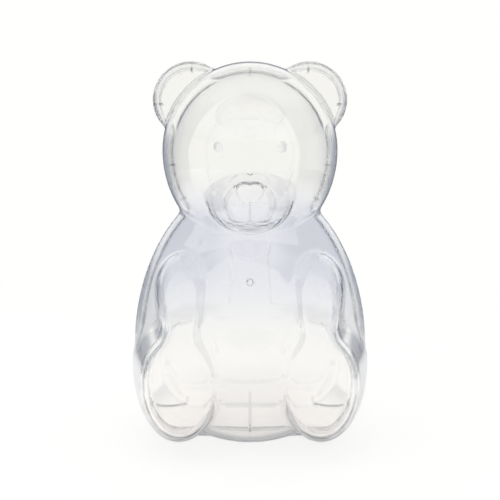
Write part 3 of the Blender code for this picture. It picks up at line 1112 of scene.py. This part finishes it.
# Where each tint, painted reflection and painted shade starts and where it is complete, in metres
# above the floor or aside.
cool_reflection_rise, cool_reflection_fall = (0.030, 0.060), (0.070, 0.095)
warm_fall = (0.008, 0.032)
chest_reflection_aside, chest_reflection_rise, chest_reflection_fall = (0.008, 0.014), (0.048, 0.062), (0.074, 0.084)
flank_shade_aside, flank_shade_rise, flank_shade_fall = (0.028, 0.038), (0.015, 0.035), (0.070, 0.090)
eye_shade_edge = (0.5, 1.2)


def clear_plastic(name, scene, with_eye_shade=False):
    """Clear moulded plastic with a faint tint that changes with height, and with painted
    reflections and shade: cooler above, darker beside the chest's middle and on the flanks, and
    greyer in the eyes.
    """
    finish = scene.bear_finish
    material, tree = new_material(name)
    across, height = tree.axes(tree.coordinates(), "XZ")
    aside = across.math("ABSOLUTE")
    # Painted reflection: cooler and greyer on the upper body.
    tint = tree.mixed(height.between(cool_reflection_rise, cool_reflection_fall), finish.clear, finish.cool_reflection)
    tint = tree.mixed(1 - height.over(*warm_fall), tint, finish.warm)
    # Painted dark reflection beside the middle of the chest.
    chest = aside.over(*chest_reflection_aside) * height.between(chest_reflection_rise, chest_reflection_fall)
    tint = tree.mixed(chest, tint, finish.chest)
    # Painted shade on the flanks.
    flank_shade = aside.over(*flank_shade_aside) * height.between(flank_shade_rise, flank_shade_fall)
    tint = tree.mixed(flank_shade, tint, finish.flank_shade)
    # Painted grey shade in the eyes, on the front shell only.
    if with_eye_shade:
        tint = tree.mixed(eye_shade_mask(aside, height, scene), tint, finish.eye)
    mould(tree, tint, finish)
    return material


def eye_shade_mask(aside, height, scene):
    """1 inside the eyes' outlines, where the plastic gets painted grey shade."""
    face = scene.bear_face
    wide = (aside - face.eye_x) * (1 / face.eye_half_width)
    high = (height - face.eye_z) * (1 / face.eye_half_height)
    return 1 - (wide * wide + high * high).over(*eye_shade_edge)


def shaded_rib_plastic(name, scene, grey):
    """The same plastic with a painted grey, which stands in for the dark reflections and shade
    along a thin rib's faces.
    """
    finish = scene.bear_finish
    material, tree = new_material(name)
    grain = tree.node("ShaderNodeTexNoise", {}, Vector=tree.coordinates(),
                      Scale=finish.grain_scale, Detail=1)
    mould(tree, tree.mixed(grain * finish.grain, grey, finish.clear), finish)
    return material


def new_material(name):
    material = bpy.data.materials.new(name)
    material.use_nodes = True
    return material, Tree(material.node_tree)


def mould(tree, tint, finish):
    """Sets up a clear moulded surface with a tint, soft flow waves and light shadows."""
    place, nodes = tree.coordinates(), tree.tree.nodes
    shader = nodes["Principled BSDF"]
    waves = tree.node("ShaderNodeTexNoise", {}, Vector=place, Scale=finish.wave_scale, Detail=1,
                      Roughness=0.4)
    bump = tree.node("ShaderNodeBump", {}, Strength=1, Distance=finish.waviness, Height=waves)
    mist = tree.node("ShaderNodeTexNoise", {}, Vector=place, Scale=finish.mist_scale, Detail=2)
    roughness = mist * finish.mist + finish.roughness - finish.mist / 2
    surface = {"Base Color": tint, "Normal": bump, "Roughness": roughness, "Metallic": 0,
               "IOR": finish.index, "Transmission Weight": 1, "Coat Weight": finish.coat,
               "Coat IOR": finish.coat_index}
    tree.fill(shader, surface)
    through = tree.node("ShaderNodeBsdfTransparent", {}, (*finish.shadow, 1))
    mix = tree.node("ShaderNodeMixShader", {}, tree.ray("Is Shadow Ray"),
                    Value(tree, shader.outputs["BSDF"]), through)
    tree.feed(nodes["Material Output"], "Surface", mix)


bear_parts = {}


def bear_of(scene):
    """The bear's forms, which both shells share."""
    if "bear" not in bear_parts:
        bear_parts["bear"] = Bear(scene)
    return bear_parts["bear"]


def skin_of(scene):
    """The bear's skin, which both shells are cut from."""
    if "skin" not in bear_parts:
        bear_parts["skin"] = Skin(bear_of(scene), scene.bear_wall.mesh_step)
    return bear_parts["skin"]


class BEAR_OT_front_shell(bpy.types.Operator):
    """Builds the front shell with its face and locating ribs"""

    bl_idname = "bear.front_shell"
    bl_label = "Front Shell"

    def execute(self, context):
        scene = context.scene
        wall, ribs = scene.bear_wall, scene.bear_ribs
        bear, skin = bear_of(scene), skin_of(scene)
        half = Half(skin, True)
        edge, inside = wall.rim_edge, wall.rim_wall
        profile = [(0, edge), (edge, 0), (inside - edge, 0), (inside, edge)]
        points, faces = half.closed(thickness_from(half, wall, inside, wall.lip_reach), profile)
        made = add_mesh("clear_front_shell", points.tolist(), faces=faces.tolist())
        made.data.materials.append(clear_plastic("front clear plastic", scene, with_eye_shade=True))
        Reliefs(scene).press(made, bear)
        # The locating ribs get a painted dark reflection.
        shaded_rib_material = shaded_rib_plastic("rib plastic", scene, scene.bear_finish.rib)
        blocks = rim_blocks("locating ribs", bear, ribs.bite, ribs.tip, ribs.width,
                            -ribs.run, -ribs.set_back, shaded_rib_material)
        combine(made, blocks, "UNION")
        finish_shell(made, "front", "front_shell")
        return {"FINISHED"}


class BEAR_OT_back_shell(bpy.types.Operator):
    """Builds the back shell with its lip and seat ribs"""

    bl_idname = "bear.back_shell"
    bl_label = "Back Shell"

    def execute(self, context):
        scene = context.scene
        wall, ribs = scene.bear_wall, scene.bear_ribs
        bear, skin = bear_of(scene), skin_of(scene)
        half = Half(skin, False)
        edge, gap = wall.rim_edge, wall.clearance
        outside = wall.rim_wall + gap
        inside = outside + wall.lip_wall
        root = gap + wall.collar_depth
        reach = -wall.lip_reach
        profile = [(0, gap + edge), (edge, gap), (outside, gap), (outside, reach + edge),
                   (outside + edge, reach), (inside - edge, reach), (inside, reach + edge),
                   (inside, gap)]
        points, faces = half.closed(thickness_from(half, wall, inside, root), profile)
        made = add_mesh("clear_back_shell", points.tolist(), faces=faces.tolist())
        plastic = clear_plastic("back clear plastic", scene)
        made.data.materials.append(plastic)
        slots = rim_blocks("slots", bear, wall.rim_wall + gap / 2, ribs.tip + gap,
                           ribs.width + 2 * gap, reach - gap, 0, plastic)
        combine(made, slots, "DIFFERENCE")
        # The seat ribs and the rear bead get painted grey shade.
        shaded_rib_material = shaded_rib_plastic("seat rib plastic", scene, scene.bear_finish.seat_rib)
        combine(made, seat_ribs(bear, scene, shaded_rib_material), "UNION")
        combine(made, rear_bead(bear, scene, shaded_rib_material), "UNION")
        finish_shell(made, "back", "back_shell")
        return {"FINISHED"}


# Each lamp's name, place, size in metres and power in watts.
softboxes = (
    ("softbox above", (-0.10, -0.20, 0.70), (0.50, 0.40), 1.2),
    ("softbox left", (-0.60, -0.30, 0.35), (0.30, 0.50), 0.8),
)
bounces = 64

# What the plastic reflects is a dark room with bright panels. A direction has the length 1,
# so a panel's edge is a range of its parts. The window's sides are planes, by their normals.
window_sides = ((0.38, -0.93, -0.455), (-0.66, -0.75, -0.37))
window_soft = 0.03
window_top, window_top_slope = (0.76, 0.81), 0.345
side_panel, side_panel_top, side_panel_light = (0.80, 0.95), (0.15, 0.30), 0.45
ceiling, ceiling_light = (0.55, 0.80), 0.6
rear_panel_start, rear_panel_end, rear_panel_foot = (0.15, 0.35), (0.75, 0.88), (0.10, 0.28)
rear_dark = (0.88, 0.97)

# What its walls reflect inside is brighter to the front and above.
inner_front = (-0.9, 0.3)
inner_top, inner_top_light = (0.0, 0.3), 0.9

# The floor has painted shade that only the plastic's reflections show: it is darker in an ellipse
# under the bear, given as 1 divided by its half width and by its half depth, and, as a painted
# pool of light, darker from the first to the second squared distance of far_floor_shade, but not
# below the window.
underside_shade, underside_shade_edge = (28, 31), (0.8, 1.1)
floor_soft = 0.02
far_floor_shade = (0.12 ** 2, 0.30 ** 2)


def add_lamp(name, place, size, power, aim):
    data = bpy.data.lights.new(name, "AREA")
    data.shape = "RECTANGLE"
    data.size, data.size_y = size
    data.energy = power
    lamp = add_object(name, data)
    lamp.location = place
    lamp.rotation_euler = (Vector(aim) - Vector(place)).to_track_quat("-Z", "Y").to_euler()
    lamp.visible_glossy = False
    lamp.visible_transmission = False


def towards_window(across, along, raised, soft):
    """1 for places and directions between the sides of the window."""
    left, right = ((across * x + along * y + raised * z).over(-soft, soft)
                   for x, y, z in window_sides)
    return left * right


class BEAR_OT_studio(bpy.types.Operator):
    """Builds the floor, the lamps, the white surroundings and the camera"""

    bl_idname = "bear.studio"
    bl_label = "Studio"

    def execute(self, context):
        scene = context.scene
        studio = scene.bear_studio
        self.camera(scene, studio)
        self.floor(studio)
        self.surroundings(scene, studio)
        for name, place, size, power in softboxes:
            add_lamp(name, place, size, power, aim=(0, 0, studio.camera_height))
        for kind in ("max", "transmission", "glossy", "transparent_max"):
            setattr(scene.cycles, kind + "_bounces", bounces)
        scene.view_settings.view_transform = "Standard"
        return {"FINISHED"}

    def camera(self, scene, studio):
        data = bpy.data.cameras.new("camera")
        data.sensor_width = 36
        data.lens = data.sensor_width * studio.camera_distance / studio.field
        data.shift_y = -studio.horizon
        data.clip_start = 0.01
        camera = add_object("camera", data)
        camera.location = (0, parting_y - studio.camera_distance, studio.camera_height)
        camera.rotation_euler = (math.pi / 2, 0, 0)
        scene.camera = camera

    def floor(self, studio, sides=96):
        mesh = bpy.data.meshes.new("floor")
        bm = bmesh.new()
        bmesh.ops.create_circle(bm, cap_ends=True, segments=sides, radius=studio.floor_radius)
        bm.to_mesh(mesh)
        bm.free()
        material, tree = new_material("white floor")
        across, along = tree.axes(tree.coordinates(), "XY")
        reflected, within = self.reflected(tree), self.within(tree)
        # Painted shade on the floor, which only the plastic's reflections show: darker under the
        # bear, and a painted pool of light that leaves the floor darker far off outside the
        # window's light.
        wide, deep = across * underside_shade[0], along * underside_shade[1]
        under = (1 - (wide * wide + deep * deep).over(*underside_shade_edge)) * reflected * (1 - within)
        lit = towards_window(across, along, 0, floor_soft)
        # Painted pool of light: darker far off, but not below the window.
        far = (across * across + along * along).over(*far_floor_shade) * (1 - lit) * reflected
        distant_shade = tree.mixed(within, studio.distance, studio.under)
        shade = tree.mixed(under, studio.floor_colour, studio.under)
        shade = tree.mixed(far, shade, distant_shade)
        glow, black = self.seen(tree) * studio.floor_glow, (0, 0, 0)
        surface = {"Base Color": tree.mixed(glow, shade, black),
                   "Emission Color": tree.mixed(glow, black, studio.white),
                   "Emission Strength": 1, "Roughness": 0.9, "Specular IOR Level": 0}
        tree.fill(tree.tree.nodes["Principled BSDF"], surface)
        mesh.materials.append(material)
        floor = add_object("floor", mesh)

    def seen(self, tree):
        """1 for rays that show the surroundings to the camera, straight or through plastic."""
        straight = tree.ray("Is Camera Ray").math("MAXIMUM", tree.ray("Is Transmission Ray"))
        return straight * (1 - self.reflected(tree))

    def reflected(self, tree):
        """1 for rays that were reflected on their way."""
        return tree.ray("Glossy Depth").math("MINIMUM", 1)

    def within(self, tree):
        """1 for rays that have gone into the plastic."""
        return tree.ray("Transmission Depth").math("MINIMUM", 1)

    def surroundings(self, scene, studio):
        world = bpy.data.worlds.new("white studio")
        world.use_nodes = True
        scene.world = world
        tree = Tree(world.node_tree)
        direction = tree.node("ShaderNodeTexCoord", {}, output="Generated")
        across, along, upward = tree.axes(direction, "XYZ")
        room = self.room(tree, studio, across, along, upward)
        glow = (0 - along).over(*inner_front)
        glow = glow.math("MAXIMUM", upward.over(*inner_top) * inner_top_light)
        inner = tree.mixed(glow, studio.within, studio.white)
        room = tree.mixed(self.within(tree), room, inner)
        plain = tree.mixed(self.seen(tree), studio.fill, studio.white)
        shown = tree.mixed(self.reflected(tree), plain, room)
        tree.feed(tree.tree.nodes["Background"], "Color", shown)

    def room(self, tree, studio, across, along, upward):
        """The dark room with bright panels that the plastic's outer face reflects."""
        window = towards_window(across, along, upward.math("MAXIMUM", 0), window_soft)
        window = window * (1 - (upward + across * window_top_slope).over(*window_top))
        beside = across.over(*side_panel) * (1 - upward.over(*side_panel_top)) * side_panel_light
        aloft = upward.over(*ceiling) * ceiling_light
        behind = along.between(rear_panel_start, rear_panel_end) * upward.over(*rear_panel_foot)
        panels = window * studio.window
        for panel in (beside, aloft, behind):
            panels = panels.math("MAXIMUM", panel)
        shade = tree.mixed(along.over(*rear_dark), studio.dark, studio.rear)
        return tree.mixed(panels, shade, studio.white)


class BEAR_PT_panel(bpy.types.Panel):
    """Lists what can be built"""

    bl_label = "Bear Sweet Container"
    bl_idname = "BEAR_PT_panel"
    bl_space_type = "VIEW_3D"
    bl_region_type = "UI"
    bl_category = "Bear"

    def draw(self, context):
        for operator in operators:
            self.layout.operator(operator.bl_idname)


groups = {
    "bear_wall": BearWall,
    "bear_ribs": BearRibs,
    "bear_head": BearHead,
    "bear_body": BearBody,
    "bear_limbs": BearLimbs,
    "bear_face": BearFace,
    "bear_finish": BearFinish,
    "bear_studio": BearStudio,
}
operators = (BEAR_OT_front_shell, BEAR_OT_back_shell, BEAR_OT_studio)


def register():
    for name, group in groups.items():
        bpy.utils.register_class(group)
        setattr(bpy.types.Scene, name, PointerProperty(type=group))
    for operator in operators:
        bpy.utils.register_class(operator)
    bpy.utils.register_class(BEAR_PT_panel)


def unregister():
    bpy.utils.unregister_class(BEAR_PT_panel)
    for operator in reversed(operators):
        bpy.utils.unregister_class(operator)
    for name, group in groups.items():
        delattr(bpy.types.Scene, name)
        bpy.utils.unregister_class(group)


def main():
    register()
    bpy.ops.bear.front_shell()
    bpy.ops.bear.back_shell()
    bpy.ops.bear.studio()
    bpy.context.view_layer.update()


if __name__ == "__main__":
    main()
